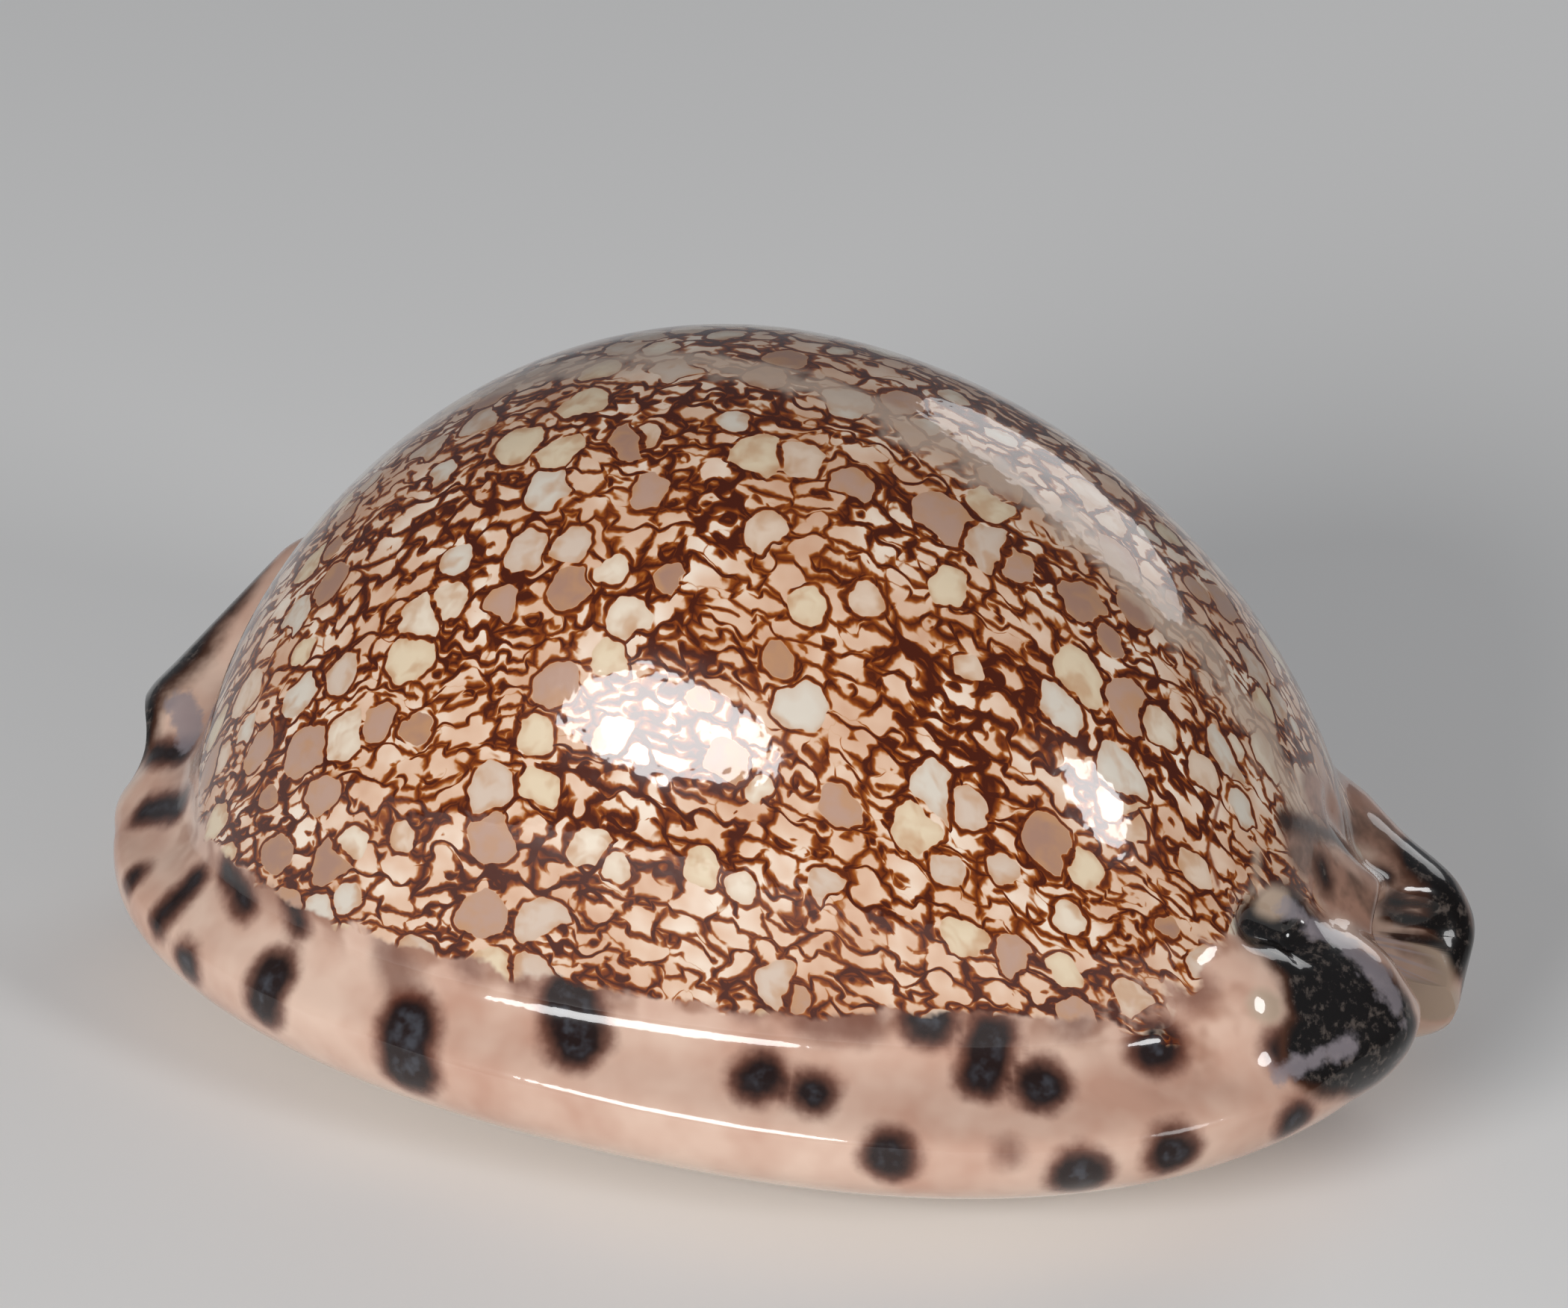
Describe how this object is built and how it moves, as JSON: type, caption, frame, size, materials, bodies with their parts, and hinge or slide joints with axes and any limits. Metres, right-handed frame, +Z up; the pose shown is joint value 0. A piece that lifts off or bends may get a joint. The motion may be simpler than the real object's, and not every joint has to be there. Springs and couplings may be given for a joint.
{
  "type": "cowrie shell",
  "caption": "Glossy egg-shaped sea snail shell with a humped patterned back, thick spotted margins and a toothed slit along its flat base.",
  "frame": {"origin": "middle of the shell's length and width, on the plane its base rests on", "axes": "+X along the length toward the spire end, -Y toward the inner lip side that the picture shows, +Z up through the humped back"},
  "size_m": [0.07, 0.0476, 0.0363],
  "materials": {
    "shell_enamel": "glossy natural enamel: cream back with chestnut brown net pattern, peach margins with dark spots"
  },
  "bodies": {
    "root": {"cowrie_shell": "shell_enamel"}
  },
  "joints": []
}
